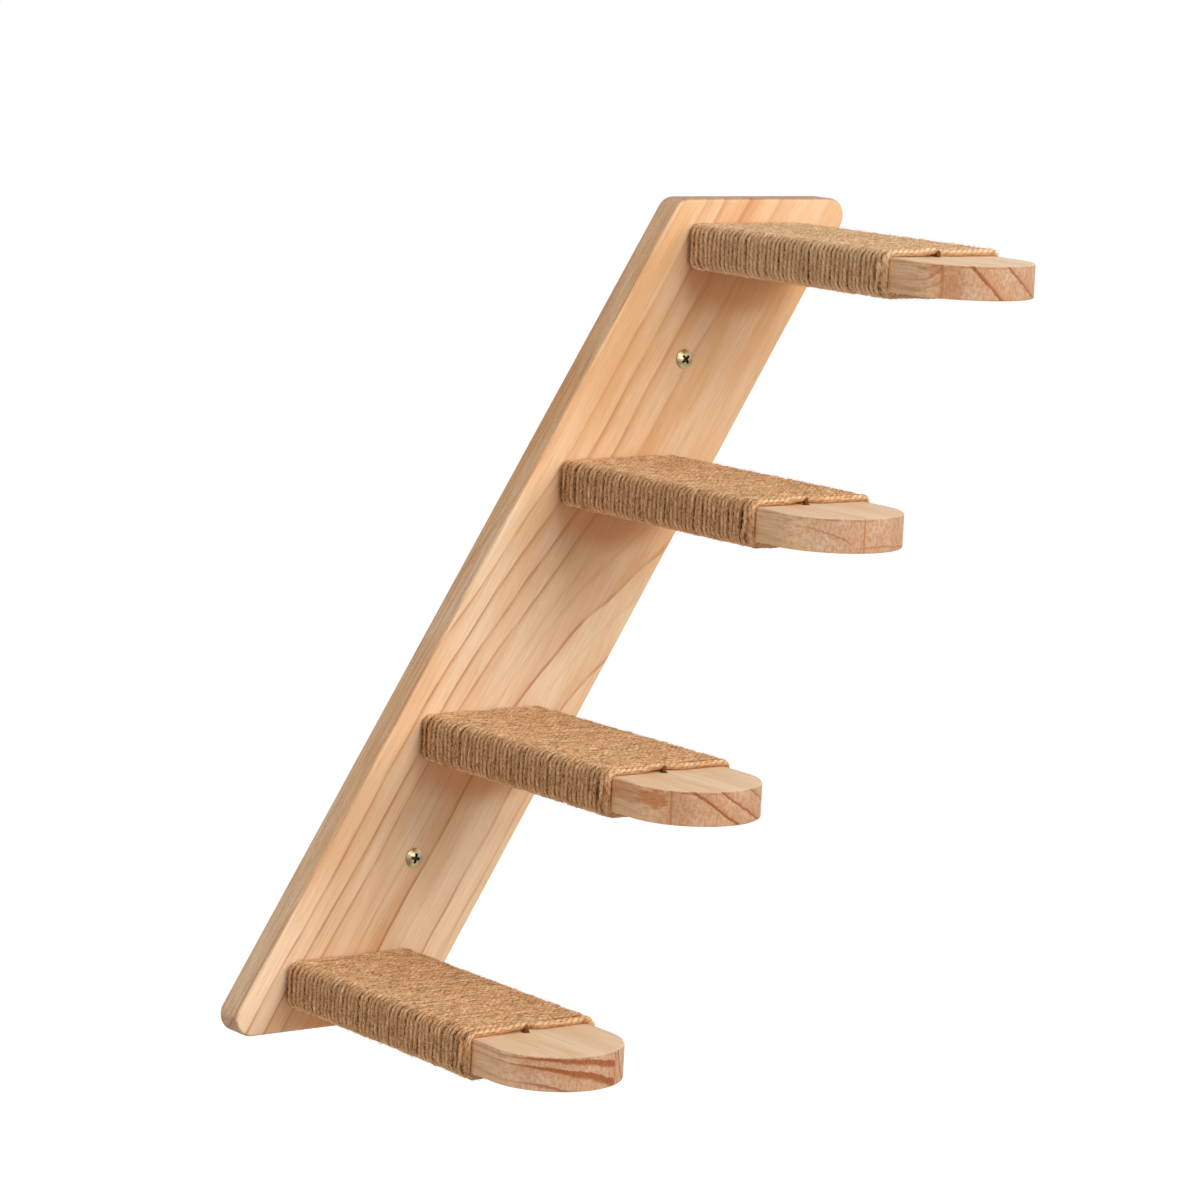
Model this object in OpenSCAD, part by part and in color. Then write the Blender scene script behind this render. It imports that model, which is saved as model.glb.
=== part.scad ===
// Cat wall ladder: a slanted board that is screwed to a wall, with four planks standing out of it as steps.
// Each plank has a half-round nose and is wound with jute twine from the board outwards.
// The origin is the middle of the board's back face, +Y points into the wall and +Z points up.

/* [Backboard] */
// Height of the board, from its lower level end to its upper one
board_h = 440; // [425:1:600]
// Width of the board, measured level along an end
board_w = 122; // [112:1:160]
// Thickness of the board
board_t = 18; // [15:0.5:24]
// Lean of the board away from upright, in degrees
lean = 32; // [0:1:40]
// Radius of the board's four corners
corner_r = 10; // [5:0.5:20]
// Rounding of the board's front and back edges
board_ease = 2; // [1:0.25:3]

/* [Steps] */
// Width of a step, across the plank
step_w = 72; // [60:1:76]
// Thickness of a step's plank
step_t = 18; // [15:0.5:22]
// Length of a step, from the board's face to the tip of its nose
step_l = 222; // [206:1:300]
// Distance from each end of the board to the middle of the nearest step
end_margin = 26; // [24:1:45]
// Height of the two middle steps above and below the board's middle
inner_step_z = 67; // [45:1:90]

/* [Twine] */
// Length of the winding, from the board's face
wrap_l = 168; // [110:1:184]
// Thickness of the twine
twine_d = 4; // [3:0.25:5]
// Full turns of twine round a step
wrap_turns = 22; // [12:1:22]
// Gap between one turn and the next
turn_gap = 0.6; // [0.5:0.1:1.5]
// Depth of the hole that takes each end of the twine
tuck_depth = 6; // [5.5:0.5:7]
// Distance of the front hole from the plank's middle, to the left
tuck_left = 4; // [0:0.5:8]

/* [Wall screws] */
// Distance between the two wall screws, along the board
wall_screw_spacing = 312; // [270:1:340]
// Diameter of a wall screw's thread
wall_screw_d = 4.5; // [4:0.5:6]
// Diameter of a wall screw's plain shank
wall_shank_d = 3.6; // [3:0.1:3.9]
// Length of a wall screw's thread, with its point
wall_thread_l = 30; // [20:1:32]
// Length of a wall screw under its head
wall_screw_l = 50; // [45:1:80]
// Diameter of a wall screw's domed head
wall_head_d = 10.5; // [9:0.5:12]
// Height of a wall screw's head above the board
wall_head_h = 2.2; // [1.8:0.1:3]

/* [Step screws] */
// Distance between the two screws that hold a step
step_screw_spacing = 40; // [24:1:48]
// Diameter of a step screw's thread
step_screw_d = 4; // [3.5:0.5:5]
// Diameter of a step screw's plain shank
step_shank_d = 3.2; // [2.5:0.1:3.4]
// Length of a step screw's thread, with its point
step_thread_l = 30; // [20:1:30]
// Length of a step screw over all
step_screw_l = 50; // [40:1:80]
// Diameter of a step screw's head
step_head_d = 8; // [6.5:0.5:9]
// Diameter of the countersink for a step screw
step_sink_d = 9; // [9:0.5:11]

/* [Fits] */
// Gap between the twine and the wood that it is wound on
wrap_fit = 0.3; // [0.2:0.05:0.5]
// Gap round the end of the twine in its hole
tuck_fit = 0.3; // [0.2:0.05:0.5]
// Gap round a screw in the board
shank_fit = 0.25; // [0.1:0.05:0.5]
// Gap round a step screw's thread in the end of a plank
thread_fit = 0.1; // [0.05:0.05:0.2]
// Gap under a countersunk head, along the screw
head_fit = 0.1; // [0.05:0.05:0.3]

/* [Hidden] */

pine = [0.87, 0.71, 0.51];
jute = [0.70, 0.53, 0.36];
steel = [0.66, 0.60, 0.47];
round_fn = 64;
ease_fn = 32;
// Amount by which a cut runs past the face that it opens
cut_over = 1;

// Step 1 is the highest
outer_step_z = board_h / 2 - end_margin;
step_z = [outer_step_z, inner_step_z, -inner_step_z, -outer_step_z];
function board_x(z) = z * tan(lean);
function step_x(step) = board_x(step_z[step - 1]);
wall_screw_z = wall_screw_spacing / 2 * cos(lean);

// Winding: loops run clockwise round the plank, seen from its nose
turn_pitch = (wrap_l - wrap_fit + turn_gap) / (wrap_turns + 1);
turn_w = turn_pitch - turn_gap;
first_turn_y = wrap_fit + turn_w / 2;
last_turn_y = first_turn_y + wrap_turns * turn_pitch;
// Each loop is mitred twice at each of the plank's four edges
corner_rings = 2;
loop_rings = 4 * corner_rings;
mitre = 90 / corner_rings / 2;
// Distance from the plank's middle at which the twine has spread to the width of a turn
spread_x = 2 * turn_w;
tuck_r = twine_d / 2 + tuck_fit;
// The hole at the board lies under the first turn, and the front one at the winding's front edge
tucks = [[0, first_turn_y], [-tuck_left, wrap_l]];

// Screws
// Length of a screw's point, as a share of its thread's diameter, and the radius that it ends at
point_share = 1.5;
point_r = 0.3;
// Height of a domed head's upright rim, as a share of the head's height
rim_share = 0.35;
// Length and width of the cross recess, as shares of the head's diameter
recess_l = 0.6;
recess_w = 0.14;
// Depth of the cross recess, as a share of the head's height
recess_depth = 0.65;
// Room past a screw's point in its pilot hole
pilot_over = 2;

// Depth of a countersunk head's top below the board's back face
step_head_y = (step_sink_d - step_head_d) / 2 - head_fit;

// A peg with rounded rims, as one corner of the board
module corner_peg(x, z) {
    translate([x, 0, z]) rotate([90, 0, 0]) rotate_extrude($fn = ease_fn) {
        square([corner_r - board_ease, board_t]);
        translate([0, board_ease]) square([corner_r, board_t - 2 * board_ease]);
        for (end = [board_ease, board_t - board_ease])
            translate([corner_r - board_ease, end]) circle(r = board_ease, $fn = ease_fn);
    }
}

// The board's rounded blank, from its back face at y = 0 to its front at y = -board_t
module board_blank() {
    side_x = board_w / 2 - corner_r / cos(lean);
    end_z = board_h / 2 - corner_r;
    hull() for (side = [-1, 1], end = [-1, 1])
        corner_peg(board_x(end * end_z) + side * side_x, end * end_z);
}

// A plain hole along +Z for a screw in the board, and past both of the board's faces
module screw_bore(thread_d) {
    translate([0, 0, -cut_over])
        cylinder(r = thread_d / 2 + shank_fit, h = board_t + 2 * cut_over, $fn = round_fn);
}

// The countersink of a step screw's hole, with the board's back face at z = 0
module step_sink() {
    sink_r = step_sink_d / 2;
    bore_r = step_screw_d / 2 + shank_fit;
    cylinder(r1 = sink_r, r2 = bore_r, h = sink_r - bore_r, $fn = round_fn);
    translate([0, 0, -cut_over]) cylinder(r = sink_r, h = cut_over, $fn = round_fn);
}

// A screw's shaft along +Z: a plain shank, the thread as a cylinder of its outer diameter, and the point
module screw_shaft(start, thread_d, thread_l, shank_d, length) {
    point_l = point_share * thread_d;
    translate([0, 0, start]) cylinder(d = shank_d, h = length - start - thread_l, $fn = round_fn);
    translate([0, 0, length - thread_l]) cylinder(d = thread_d, h = thread_l - point_l, $fn = round_fn);
    translate([0, 0, length - point_l])
        cylinder(r1 = thread_d / 2, r2 = point_r, h = point_l, $fn = round_fn);
}

// The cross recess of a head, cut from the head's top at z = 0
module cross_recess(head_d, head_h) {
    for (turn = [0, 90]) rotate([0, 0, turn])
        translate([-recess_l * head_d / 2, -recess_w * head_d / 2, -cut_over])
            cube([recess_l * head_d, recess_w * head_d, recess_depth * head_h + cut_over]);
}

// A domed head from its top at z = 0 to its flat underside at z = head_h
module domed_head(head_d, head_h) {
    rim_h = rim_share * head_h;
    dome_h = head_h - rim_h;
    dome_r = (pow(head_d / 2, 2) + pow(dome_h, 2)) / (2 * dome_h);
    intersection() {
        translate([0, 0, dome_r]) sphere(r = dome_r, $fn = 2 * round_fn);
        cylinder(d = head_d, h = head_h, $fn = round_fn);
    }
}

// Places its children at wall screw 1 (upper) or -1 (lower), pointing from the board's face into the wall
module at_wall_screw(which) {
    translate([board_x(which * wall_screw_z), -board_t, which * wall_screw_z]) rotate([-90, 0, 0]) children();
}

// Places its children at a step's left (-1) or right (1) screw, pointing out from the board's back face
module at_step_screw(step, side) {
    translate([step_x(step) + side * step_screw_spacing / 2, 0, step_z[step - 1]])
        rotate([90, 0, 0]) children();
}

module backboard() {
    color(pine) difference() {
        board_blank();
        for (which = [-1, 1]) at_wall_screw(which) screw_bore(wall_screw_d);
        for (step = [1 : 4], side = [-1, 1]) at_step_screw(step, side) {
            screw_bore(step_screw_d);
            step_sink();
        }
    }
}

// A plank with a half-round nose, less the pilot holes for its screws and the holes for its twine's ends
module step_plank(step) {
    pilot_l = step_screw_l + step_head_y - board_t + pilot_over;
    color(pine) difference() {
        translate([step_x(step), -board_t, step_z[step - 1] - step_t / 2]) linear_extrude(step_t) {
            translate([-step_w / 2, step_w / 2 - step_l]) square([step_w, step_l - step_w / 2]);
            translate([0, step_w / 2 - step_l]) circle(d = step_w, $fn = 2 * round_fn);
        }
        for (side = [-1, 1]) at_step_screw(step, side) translate([0, 0, board_t - cut_over])
            cylinder(r = step_screw_d / 2 + thread_fit, h = pilot_l + cut_over, $fn = round_fn);
        for (tuck = tucks)
            translate([step_x(step) + tuck[0], -board_t - tuck[1], step_z[step - 1] + step_t / 2 - tuck_depth])
                cylinder(r = tuck_r, h = tuck_depth + cut_over, $fn = round_fn);
    }
}

// Winding, in a step's own frame: x across the plank, y out from the board's face and z up from its middle.
// A ring of the twine lies on the mitre plane through one of the plank's edges. Ring 0 is at the top right.
function ring_angle(i) = mitre + 2 * mitre * (i % loop_rings);
function ring_edge(i) = [
    sign(sin(ring_angle(i))) * step_w / 2,
    sign(cos(ring_angle(i))) * step_t / 2];
function ring_point(i, height) = ring_edge(i)
    + (wrap_fit + height) / cos(mitre) * [sin(ring_angle(i)), cos(ring_angle(i))];
top_middle = [0, step_t / 2 + wrap_fit + twine_d / 2];

// How far round the plank each ring of a loop lies, as a share of the loop, starting at the top middle
loop_points = [top_middle, for (i = [0 : loop_rings - 1]) ring_point(i, twine_d / 2), top_middle];
run_l = [for (i = [0 : loop_rings]) norm(loop_points[i + 1] - loop_points[i])];
function run_sum(i) = i < 0 ? 0 : run_l[i] + run_sum(i - 1);
function ring_y(i) = first_turn_y
    + turn_pitch * (floor(i / loop_rings) + run_sum(i % loop_rings) / run_sum(loop_rings));

// The twine's flattened section, as offsets along the plank and heights above it
function section(w) = [[-w / 2, twine_d / 2], [-w / 4, twine_d], [w / 4, twine_d],
    [w / 2, twine_d / 2], [w / 4, 0], [-w / 4, 0]];
function turn_ring(i) = [for (p = section(turn_w))
    [ring_point(i, p[1])[0], ring_y(i) + p[0], ring_point(i, p[1])[1]]];
// Where the twine spreads to its full width, beside the middle of the plank's top
function spread_ring(side, y) = [for (p = section(turn_w))
    [side * spread_x, y + p[0], step_t / 2 + wrap_fit + p[1]]];
// Where the twine turns down into its hole, and its end near the hole's floor
function bend_ring(side, tuck) = [for (p = section(twine_d))
    [tuck[0] + side * (twine_d / 2 - p[1]), tuck[1] + p[0], step_t / 2 + wrap_fit + p[1]]];
function end_ring(side, tuck) = [for (p = section(twine_d))
    [tuck[0] + side * (twine_d / 2 - p[1]), tuck[1] + p[0], step_t / 2 - tuck_depth + wrap_fit]];
spread_y = turn_pitch * spread_x / run_sum(loop_rings);

rings = [
    end_ring(1, tucks[0]), bend_ring(1, tucks[0]), spread_ring(1, first_turn_y + spread_y),
    for (i = [0 : wrap_turns * loop_rings - 1]) turn_ring(i),
    spread_ring(-1, last_turn_y - spread_y), bend_ring(-1, tucks[1]), end_ring(-1, tucks[1])];
sides = len(section(turn_w));

// Least distance between points on facing edges of neighbouring turns, taken at each ring and between rings
function edge_points(i, corner) = [for (share = [0 : 0.25 : 0.75])
    (1 - share) * turn_ring(i)[corner] + share * turn_ring(i + 1)[corner]];
least_gap = min([for (i = [0 : (wrap_turns - 1) * loop_rings - 2])
    for (a = edge_points(i, 3), b = edge_points(i + loop_rings, 0)) norm(a - b)]);
echo(least_gap_between_turns = least_gap);

module twine_wrap(step) {
    last = len(rings) - 1;
    color(jute) translate([step_x(step), -board_t, step_z[step - 1]]) mirror([0, 1, 0]) polyhedron(
        points = [for (ring = rings) each ring],
        faces = [
            for (r = [0 : last - 1], s = [0 : sides - 1]) let (
                a = r * sides + s, b = r * sides + (s + 1) % sides)
                each [[a, a + sides, b], [b, a + sides, b + sides]],
            for (s = [1 : sides - 2]) [0, s, s + 1],
            for (s = [1 : sides - 2]) [last * sides, last * sides + s + 1, last * sides + s]]);
}

// A wood screw whose domed head stands on the board's face
module wall_screw(which) {
    color(steel) at_wall_screw(which) {
        translate([0, 0, -wall_head_h]) difference() {
            domed_head(wall_head_d, wall_head_h);
            cross_recess(wall_head_d, wall_head_h);
        }
        screw_shaft(0, wall_screw_d, wall_thread_l, wall_shank_d, wall_screw_l);
    }
}

// A countersunk wood screw whose head lies just below the board's back face
module step_screw(step, side) {
    head_h = (step_head_d - step_shank_d) / 2;
    color(steel) at_step_screw(step, side) translate([0, 0, step_head_y]) {
        difference() {
            cylinder(r1 = step_head_d / 2, r2 = step_shank_d / 2, h = head_h, $fn = round_fn);
            cross_recess(step_head_d, head_h);
        }
        screw_shaft(head_h, step_screw_d, step_thread_l, step_shank_d, step_screw_l);
    }
}

backboard();
step_plank(1);  // step_plank_1
step_plank(2);  // step_plank_2
step_plank(3);  // step_plank_3
step_plank(4);  // step_plank_4
twine_wrap(1);  // twine_wrap_1
twine_wrap(2);  // twine_wrap_2
twine_wrap(3);  // twine_wrap_3
twine_wrap(4);  // twine_wrap_4
wall_screw(1);  // wall_screw_upper
wall_screw(-1);  // wall_screw_lower
step_screw(1, -1);  // step_screw_1_left
step_screw(1, 1);  // step_screw_1_right
step_screw(2, -1);  // step_screw_2_left
step_screw(2, 1);  // step_screw_2_right
step_screw(3, -1);  // step_screw_3_left
step_screw(3, 1);  // step_screw_3_right
step_screw(4, -1);  // step_screw_4_left
step_screw(4, 1);  // step_screw_4_right
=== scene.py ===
"""Cat wall ladder: a slanted pine board with four round-nosed planks, each wound with jute twine."""

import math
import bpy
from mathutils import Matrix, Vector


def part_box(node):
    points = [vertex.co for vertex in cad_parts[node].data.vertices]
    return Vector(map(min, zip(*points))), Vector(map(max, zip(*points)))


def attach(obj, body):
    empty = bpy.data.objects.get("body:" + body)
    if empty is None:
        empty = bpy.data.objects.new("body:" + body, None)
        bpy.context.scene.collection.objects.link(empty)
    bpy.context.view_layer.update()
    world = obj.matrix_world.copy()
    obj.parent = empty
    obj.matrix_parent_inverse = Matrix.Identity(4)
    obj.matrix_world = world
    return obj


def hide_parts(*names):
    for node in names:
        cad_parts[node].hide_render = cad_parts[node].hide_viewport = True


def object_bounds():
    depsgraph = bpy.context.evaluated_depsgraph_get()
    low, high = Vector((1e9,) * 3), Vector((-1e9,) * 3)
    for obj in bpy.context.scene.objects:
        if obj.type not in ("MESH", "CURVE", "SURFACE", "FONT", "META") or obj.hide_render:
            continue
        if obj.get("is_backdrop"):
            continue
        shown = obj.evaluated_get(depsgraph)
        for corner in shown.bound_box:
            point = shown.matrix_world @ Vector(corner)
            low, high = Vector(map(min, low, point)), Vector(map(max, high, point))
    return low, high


bl_info = {
    "name": "Cat Wall Ladder",
    "version": (1, 0, 0),
    "blender": (4, 5, 0),
    "location": "View3D > Sidebar > Cat Ladder",
    "description": "Builds a slanted pine wall ladder for cats, with four steps wound in jute twine",
    "category": "Add Mesh",
}

import bpy
import numpy as np
from bpy.props import FloatProperty, FloatVectorProperty, IntProperty, PointerProperty
from mathutils import Matrix, Vector

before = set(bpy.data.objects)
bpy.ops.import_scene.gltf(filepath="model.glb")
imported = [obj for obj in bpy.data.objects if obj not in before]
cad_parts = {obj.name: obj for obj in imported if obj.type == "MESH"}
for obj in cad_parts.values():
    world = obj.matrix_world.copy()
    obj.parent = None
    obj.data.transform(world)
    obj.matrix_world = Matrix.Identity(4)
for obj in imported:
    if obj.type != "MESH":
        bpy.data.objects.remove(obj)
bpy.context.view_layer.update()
MM = 0.001
STEPS = (1, 2, 3, 4)
# Gap between the twine and the wood
WRAP_FIT = 0.3 * MM
# The twine's front end goes down in a hole to the left of the plank's middle
TUCK_LEFT = 4 * MM
TUCK_FIT = 0.3 * MM
TUCK_DEPTH = 6 * MM
# The frame's winding has flattened turns, and its back hole lies under the middle of the first one
TURNS_IN_FRAME = 23
TURN_GAP = 0.6 * MM
# The step screws are one size thinner than the wall screws
STEP_SCREW_SHARE = 4 / 4.5
# A screw's core and a turn's rise, as shares of its thread's radius
CORE_SHARE, PITCH_SHARE = 0.7, 0.85
# The twine's front end lies clear of the felted fibres on top of the plank
CLEAN_END = 40 * MM
# Each of the first turns lies level, and steps forward to its neighbour's place in this length
STEP_FORWARD = 9 * MM
LEVEL_TURNS = 4
# The twine is thicker and thinner by this share, in lumps of this length
LUMPS, LUMP_L = 0.12, 6 * MM
# The least length of a loose fibre, and the greatest for one that lies along the twine or stands up
FIBRE_MIN, FIBRE_LYING, FIBRE_UP = 1 * MM, 5 * MM, 2.5 * MM
LYING_SHARE = 0.96
# How far the twine's pattern goes round it, in millimetres
GIRTH = 12.6
# Points closer than this are one place
NEAR = 0.01 * MM
# The random numbers of each step's twine start from this and the step's number
TWINE_SEED = 40


def srgb(red, green, blue):
    """A colour as a screen shows it, from 0 to 255, turned into linear light."""
    parts = [part / 255 for part in (red, green, blue)]
    return tuple(p / 12.92 if p <= 0.04045 else ((p + 0.055) / 1.055) ** 2.4 for p in parts)


class Plank:
    """Where one step's plank lies, from the frame, in metres."""

    def __init__(self, step):
        low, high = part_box(f"step_plank_{step}")
        self.name = f"step_plank_{step}"
        self.x, self.z = (low.x + high.x) / 2, (low.z + high.z) / 2
        self.half_w, self.half_t = (high.x - low.x) / 2, (high.z - low.z) / 2
        self.root_y, self.tip_y = high.y, low.y
        wrap_low, wrap_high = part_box(f"twine_wrap_{step}")
        self.twine_r = (wrap_high.z - high.z - WRAP_FIT) / 2
        self.wrap_start = self.root_y - wrap_high.y
        # The twine's front end turns down in its hole, half in front of the winding
        self.wrap_end = self.root_y - wrap_low.y - self.twine_r
        turn_w = (self.wrap_end - self.wrap_start + TURN_GAP) / TURNS_IN_FRAME - TURN_GAP
        self.tuck_ys = (self.wrap_start + turn_w / 2, self.wrap_end)

    @property
    def centre(self):
        return Vector((self.x, self.root_y, self.z))

    def shade_spots(self):
        """Middles and half sizes of the spots of painted shade in the deep gaps in and beside the winding, in
        metres.
        """
        side_x, front_y = -self.half_w - 2 * MM, -self.tuck_ys[1]
        hole = (-TUCK_LEFT + 0.6 * MM, front_y + 0.5 * MM, self.half_t + 1.6 * MM)
        crossing = (side_x, front_y + 7.4 * MM, -0.5 * MM)
        root = (side_x, -self.wrap_start, -1 * MM)
        gaps = ((hole, (3.6, 4.5, 3.2)), (crossing, (4, 2.4, 3)), (root, (5, 3.4, 16)))
        return [(self.centre + Vector(middle), Vector(size) * MM) for middle, size in gaps]


PLANKS = {step: Plank(step) for step in STEPS}
LEAN = math.atan2(PLANKS[1].x - PLANKS[4].x, PLANKS[1].z - PLANKS[4].z)
ALONG_BOARD = Vector((math.sin(LEAN), 0, math.cos(LEAN)))
ACROSS_BOARD = Vector((math.cos(LEAN), 0, -math.sin(LEAN)))


# Shader expressions


def maths(operation, swapped=False):
    """A method that adds a Math node to a value and what it is used with."""
    def method(value, *others):
        values = (*others, value) if swapped else (value, *others)
        return value.nodes.node("ShaderNodeMath", {"operation": operation}, values)
    return method


class Value:
    """A shader socket that is used in an expression, each operator adding its Math node."""

    def __init__(self, nodes, socket):
        self.nodes, self.socket = nodes, socket

    __add__, __radd__ = maths("ADD"), maths("ADD", swapped=True)
    __sub__, __rsub__ = maths("SUBTRACT"), maths("SUBTRACT", swapped=True)
    __mul__, __rmul__ = maths("MULTIPLY"), maths("MULTIPLY", swapped=True)
    __truediv__, __gt__, __lt__ = maths("DIVIDE"), maths("GREATER_THAN"), maths("LESS_THAN")
    fract, abs, sqrt, larger = maths("FRACT"), maths("ABSOLUTE"), maths("SQRT"), maths("MAXIMUM")

    def hypot(self, other):
        return (self * self + other * other).sqrt()

    def smooth(self, start, end):
        """0 below start, 1 above end, and a smooth step between."""
        settings = {"interpolation_type": "SMOOTHSTEP"}
        return self.nodes.node("ShaderNodeMapRange", settings, (self, start, end))


class Nodes:
    """A node tree that is built from expressions."""

    def __init__(self, tree):
        self.tree = tree

    def node(self, kind, settings=None, values=(), out=0):
        """Adds a node: settings are set first, then values or links by a socket's index or name."""
        made = self.tree.nodes.new(kind)
        for key, setting in (settings or {}).items():
            setattr(made, key, setting)
        for key, value in values.items() if isinstance(values, dict) else enumerate(values):
            self.feed(made.inputs[key], value)
        return Value(self, made.outputs[out])

    def feed(self, socket, value):
        if isinstance(value, Value):
            self.tree.links.new(value.socket, socket)
        else:
            socket.default_value = value

    def vectors(self, operation, first, second, out=0):
        return self.node("ShaderNodeVectorMath", {"operation": operation}, (first, tuple(second)), out)

    def dot(self, vector, axis):
        return self.vectors("DOT_PRODUCT", vector, axis, "Value")


class Shader(Nodes):
    """A material that is built from expressions."""

    def __init__(self, name):
        self.material = bpy.data.materials.new(name)
        self.material.use_nodes = True
        super().__init__(self.material.node_tree)
        self.surface = self.tree.nodes["Principled BSDF"]

    def set(self, **values):
        """Feeds the surface's sockets: Base_Color stands for Base Color."""
        for name, value in values.items():
            self.feed(self.surface.inputs[name.replace("_", " ")], value)

    def matt(self, roughness, specular):
        self.surface.inputs["Roughness"].default_value = roughness
        self.surface.inputs["Specular IOR Level"].default_value = specular

    def point(self):
        return self.node("ShaderNodeTexCoord", out="Object")

    def point_mm(self):
        return self.vectors("MULTIPLY", self.point(), [1 / MM] * 3)

    def normal(self):
        return self.node("ShaderNodeTexCoord", out="Normal")

    def along(self, point, origin, axis):
        """How far a point lies from an origin along an axis, in millimetres."""
        return self.dot(self.vectors("SUBTRACT", point, origin), [part / MM for part in axis])

    def vector(self, x, y, z):
        return self.node("ShaderNodeCombineXYZ", None, (x, y, z))

    def noise(self, point, detail=2.0, roughness=0.5, scale=1.0):
        """Smooth noise from 0 to 1, one cell to each unit of the point."""
        values = {"Vector": point, "Scale": scale, "Detail": detail, "Roughness": roughness}
        return self.node("ShaderNodeTexNoise", {"noise_dimensions": "3D"}, values)

    def spot(self, point, centre, size):
        """1 in the middle of a soft ellipsoid with given half sizes in metres, and 0 outside it."""
        shares = self.vectors("DIVIDE", self.vectors("SUBTRACT", point, centre), size)
        reach = self.node("ShaderNodeVectorMath", {"operation": "LENGTH"}, (shares,), "Value")
        return 1 - reach.smooth(0.5, 1)

    def mix(self, share, first, second, blend="MIX"):
        """Mixes two colours, each a value or three numbers."""
        first, second = (c if isinstance(c, Value) else (*c, 1.0) for c in (first, second))
        settings = {"data_type": "RGBA", "blend_type": blend}
        return self.node("ShaderNodeMix", settings, {0: share, 6: first, 7: second}, 2)

    def bump(self, height, strength, distance):
        values = {"Strength": strength, "Distance": distance, "Height": height}
        self.set(Normal=self.node("ShaderNodeBump", None, values))


# Sizes and colours that a user would change


class LadderPine(bpy.types.PropertyGroup):
    """Colours and finish of the pine"""
    early: FloatVectorProperty(
        name="Earlywood", description="Pale wood between the rings", subtype="COLOR",
        default=srgb(243, 211, 176))
    warm: FloatVectorProperty(
        name="Warm wood", description="Warmer areas of the pale wood", subtype="COLOR",
        default=srgb(226, 178, 130))
    glow: FloatVectorProperty(
        name="Glow", description="Reddish wood beside a ring's dark line", subtype="COLOR",
        default=srgb(212, 150, 100))
    late: FloatVectorProperty(
        name="Latewood", description="Dark line at the end of each ring", subtype="COLOR",
        default=srgb(172, 102, 56))
    end_tint: FloatVectorProperty(
        name="End grain tint", description="Tint of a face cut across the grain", subtype="COLOR",
        default=srgb(210, 206, 211))
    roughness: FloatProperty(
        name="Roughness", description="Roughness of the sanded surface", default=0.55, min=0.0, max=1.0)
    ease: FloatProperty(
        name="Easing", description="Rounding of a plank's edges", default=1.0 * MM, unit="LENGTH")


class LadderTwine(bpy.types.PropertyGroup):
    """Sizes and colours of the twine"""
    turns: IntProperty(
        name="Turns", description="Full turns round each step", default=45, min=4, max=60)
    lay: FloatProperty(
        name="Lay", description="Length in which a ply goes once round the twine", default=11 * MM,
        unit="LENGTH")
    ply_depth: FloatProperty(
        name="Ply depth", description="Depth of the grooves between plies, as a share of the radius",
        default=0.12)
    unevenness: FloatProperty(
        name="Unevenness", description="How far turns wander from their place", default=0.65 * MM,
        unit="LENGTH")
    fibres: IntProperty(
        name="Loose fibres", description="Loose fibres on each step", default=19000, min=0, max=19000)
    dark: FloatVectorProperty(
        name="Dark fibre", description="Darkest fibres", subtype="COLOR", default=srgb(140, 90, 52))
    # Painted shade: the colour painted between the turns, in the front hole, under the crossing turn and at
    # the winding's start
    gap: FloatVectorProperty(
        name="Gap", description="Shaded fibres between the turns", subtype="COLOR", default=srgb(116, 60, 18))
    base: FloatVectorProperty(
        name="Fibre", description="Most of the fibres", subtype="COLOR", default=srgb(233, 179, 128))
    straw: FloatVectorProperty(
        name="Straw", description="Palest fibres", subtype="COLOR", default=srgb(253, 220, 180))


class LadderSteel(bpy.types.PropertyGroup):
    """Finish of the screws"""
    plate: FloatVectorProperty(
        name="Plating", description="Yellow-passivated zinc", subtype="COLOR", default=srgb(206, 190, 150))
    tint: FloatVectorProperty(
        name="Tint", description="Darker clouds in the plating", subtype="COLOR", default=srgb(178, 158, 116))
    # The dark colour painted into the recess stands in for its shade
    shade: FloatVectorProperty(
        name="Recess", description="Soiled metal in the recess", subtype="COLOR", default=srgb(60, 48, 34))
    roughness: FloatProperty(
        name="Roughness", description="Roughness of the plating", default=0.32, min=0.0, max=1.0)
    dome: FloatProperty(
        name="Dome", description="Height of a wall screw's domed head", default=2.2 * MM, unit="LENGTH")
    thread_d: FloatProperty(
        name="Thread", description="Diameter of a wall screw's thread", default=4.5 * MM, unit="LENGTH")
    shank_d: FloatProperty(
        name="Shank", description="Diameter of a wall screw's plain shank", default=3.6 * MM, unit="LENGTH")
    thread_l: FloatProperty(
        name="Thread length", description="Length of the thread with its point", default=30 * MM,
        unit="LENGTH")
    turned: FloatProperty(
        name="Turned", description="Turn of the first screw's recess", default=math.radians(12),
        unit="ROTATION")


class LadderStage(bpy.types.PropertyGroup):
    """Camera and lights"""
    eye: FloatVectorProperty(
        name="Eye", description="Place of the camera", subtype="TRANSLATION", unit="LENGTH",
        default=(-1.45935, -2.03159, 0.38416))
    yaw: FloatProperty(
        name="Yaw", description="Turn of the view from straight at the wall", unit="ROTATION", default=0.6379)
    pitch: FloatProperty(
        name="Pitch", description="Downward tilt of the view", unit="ROTATION", default=0.1516)
    roll: FloatProperty(
        name="Roll", description="Turn of the camera about its view", unit="ROTATION", default=0.0464)
    lens: FloatProperty(
        name="Lens", description="Focal length in millimetres on a 36 mm sensor", default=139.44)
    key: FloatProperty(
        name="Key light", description="Power of the large lamp in front", default=51.0)
    top: FloatProperty(
        name="Top light", description="Power of the large lamp overhead", default=12.0)
    fill: FloatProperty(
        name="Fill light", description="Power of the soft lamp on the left", default=12.0)
    ambient: FloatProperty(
        name="Ambient", description="Strength of the light from all round", default=0.36)
    floor_drop: FloatProperty(
        name="Floor drop", description="Height of the wall ladder's lower end above the floor",
        default=0.9, unit="LENGTH")


# Modelling helpers


def deselect():
    if bpy.context.object and bpy.context.object.mode != "OBJECT":
        bpy.ops.object.mode_set(mode="OBJECT")
    bpy.ops.object.select_all(action="DESELECT")


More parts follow.
